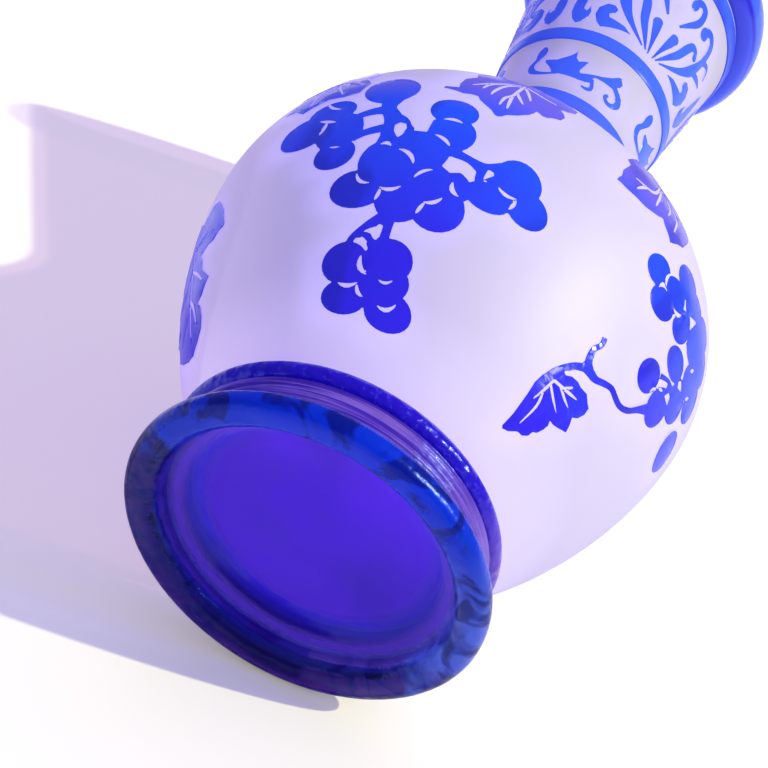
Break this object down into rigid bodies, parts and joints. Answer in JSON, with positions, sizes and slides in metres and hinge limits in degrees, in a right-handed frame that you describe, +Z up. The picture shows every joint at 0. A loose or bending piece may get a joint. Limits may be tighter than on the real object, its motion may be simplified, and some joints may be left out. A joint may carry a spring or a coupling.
{
  "type": "glass vase",
  "caption": "Vase of clear frosted glass cased in blue: a globe on a blue foot, a flared neck with a thick blue rim, and a vine with grapes left standing in the casing.",
  "frame": {"origin": "middle of the foot's underside, on the plane that the foot stands on", "axes": "+Z up along the vase's axis; the front, with the main bunch of grapes, faces -Y"},
  "size_m": [0.158, 0.158, 0.3035],
  "materials": {
    "frosted_glass": "clear glass, etched matt outside",
    "casing_glass": "cobalt blue casing, polished",
    "foot_glass": "solid cobalt blue glass, polished",
    "rim_glass": "thick cobalt blue glass, polished"
  },
  "bodies": {
    "root": {"clear_body": "frosted_glass", "foot": "foot_glass", "collar": "foot_glass", "neck_root_ring": "casing_glass", "neck_band": "casing_glass", "rim_band": "rim_glass", "rim_ring": "rim_glass", "front_bunch": "casing_glass", "front_side_bunch": "casing_glass", "front_lone_grape": "casing_glass", "front_leaf_left": "casing_glass", "front_leaf_right": "casing_glass", "front_leaf_far_left": "casing_glass", "front_side_leaf": "casing_glass", "back_bunch": "casing_glass", "back_side_bunch": "casing_glass", "back_lone_grape": "casing_glass", "back_leaf_left": "casing_glass", "back_leaf_right": "casing_glass", "back_leaf_far_left": "casing_glass", "neck_sprig_1": "casing_glass", "neck_sprig_2": "casing_glass", "neck_sprig_3": "casing_glass", "neck_sprig_4": "casing_glass", "palmette_1": "casing_glass", "palmette_2": "casing_glass", "palmette_3": "casing_glass", "scroll_pair_1": "casing_glass", "scroll_pair_2": "casing_glass", "scroll_pair_3": "casing_glass"}
  },
  "joints": []
}
